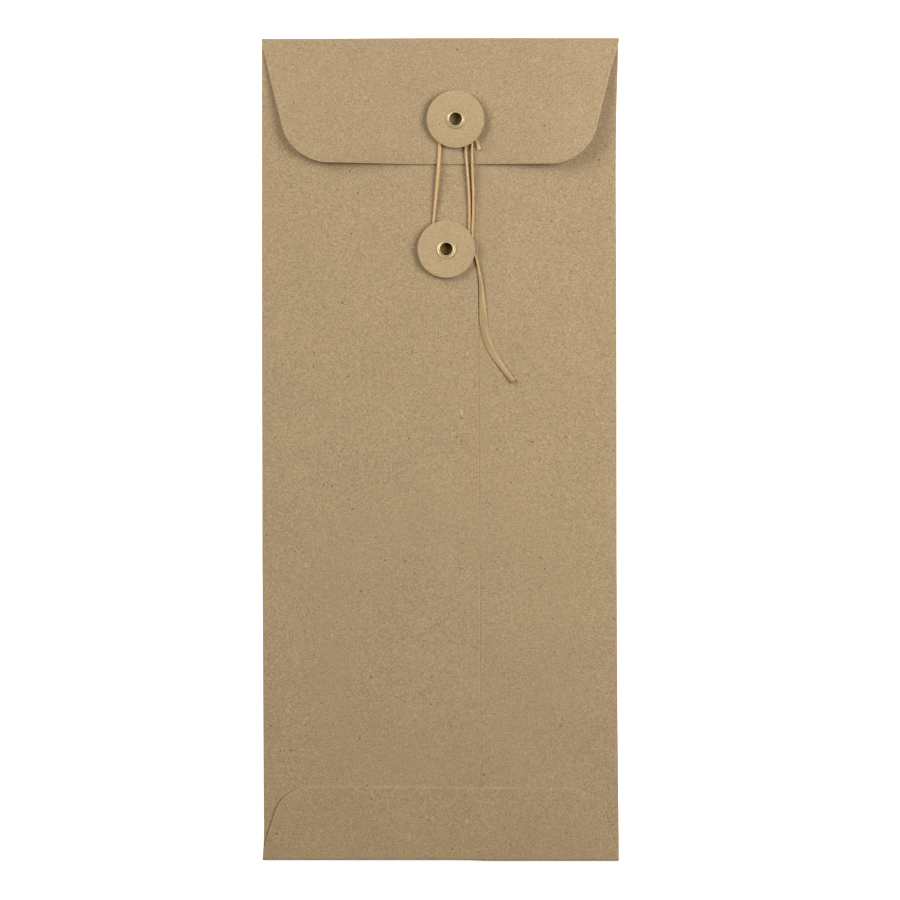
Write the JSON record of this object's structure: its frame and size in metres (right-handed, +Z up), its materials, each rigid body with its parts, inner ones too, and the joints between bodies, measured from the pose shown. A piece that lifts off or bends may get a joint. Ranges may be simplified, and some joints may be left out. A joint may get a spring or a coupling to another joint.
{
  "type": "string tie envelope",
  "caption": "Kraft policy envelope closed by a waxed string wound round fibre-paper buttons on brass eyelets, with a hinged flap and turning buttons.",
  "frame": {"origin": "middle of the envelope's outline, on the table plane under the front panel", "axes": "+X across the envelope to the right in the picture, +Y along it towards the flap's fold, +Z up out of the back"},
  "size_m": [0.1048, 0.2412, 0.0047],
  "materials": {
    "kraft": "matte",
    "fibre_paper": "matte",
    "brass": "satin",
    "string": "satin",
    "glue": "matte"
  },
  "bodies": {
    "envelope": {"front_panel": "kraft", "left_fold": "kraft", "right_fold": "kraft", "left_back_panel": "kraft", "right_back_panel": "kraft", "seam_glue": "glue", "bottom_fold": "kraft", "bottom_flap": "kraft", "bottom_glue": "glue", "top_fold": "kraft", "body_eyelet": "brass"},
    "flap": {"closure_flap": "kraft", "flap_eyelet": "brass", "string_anchor": "string", "string_winding": "string", "string_tail": "string"},
    "flap_button_disc": {"flap_button": "fibre_paper"},
    "body_button_disc": {"body_button": "fibre_paper"}
  },
  "joints": [
    {"name": "flap_hinge", "type": "hinge", "parent": "envelope", "child": "flap", "pos_m": [0, 0.11968, 0.00097], "axis": [-1, 0, 0], "range_deg": [0, 170], "deforming": ["top_fold", "string_winding", "string_tail"]},
    {"name": "flap_button_spin", "type": "hinge", "parent": "flap", "child": "flap_button_disc", "pos_m": [0.00445, 0.09665, 0.0039], "axis": [0, 0, 1], "continuous": true},
    {"name": "body_button_spin", "type": "hinge", "parent": "envelope", "child": "body_button_disc", "pos_m": [0.00175, 0.05865, 0.00265], "axis": [0, 0, 1], "continuous": true}
  ]
}
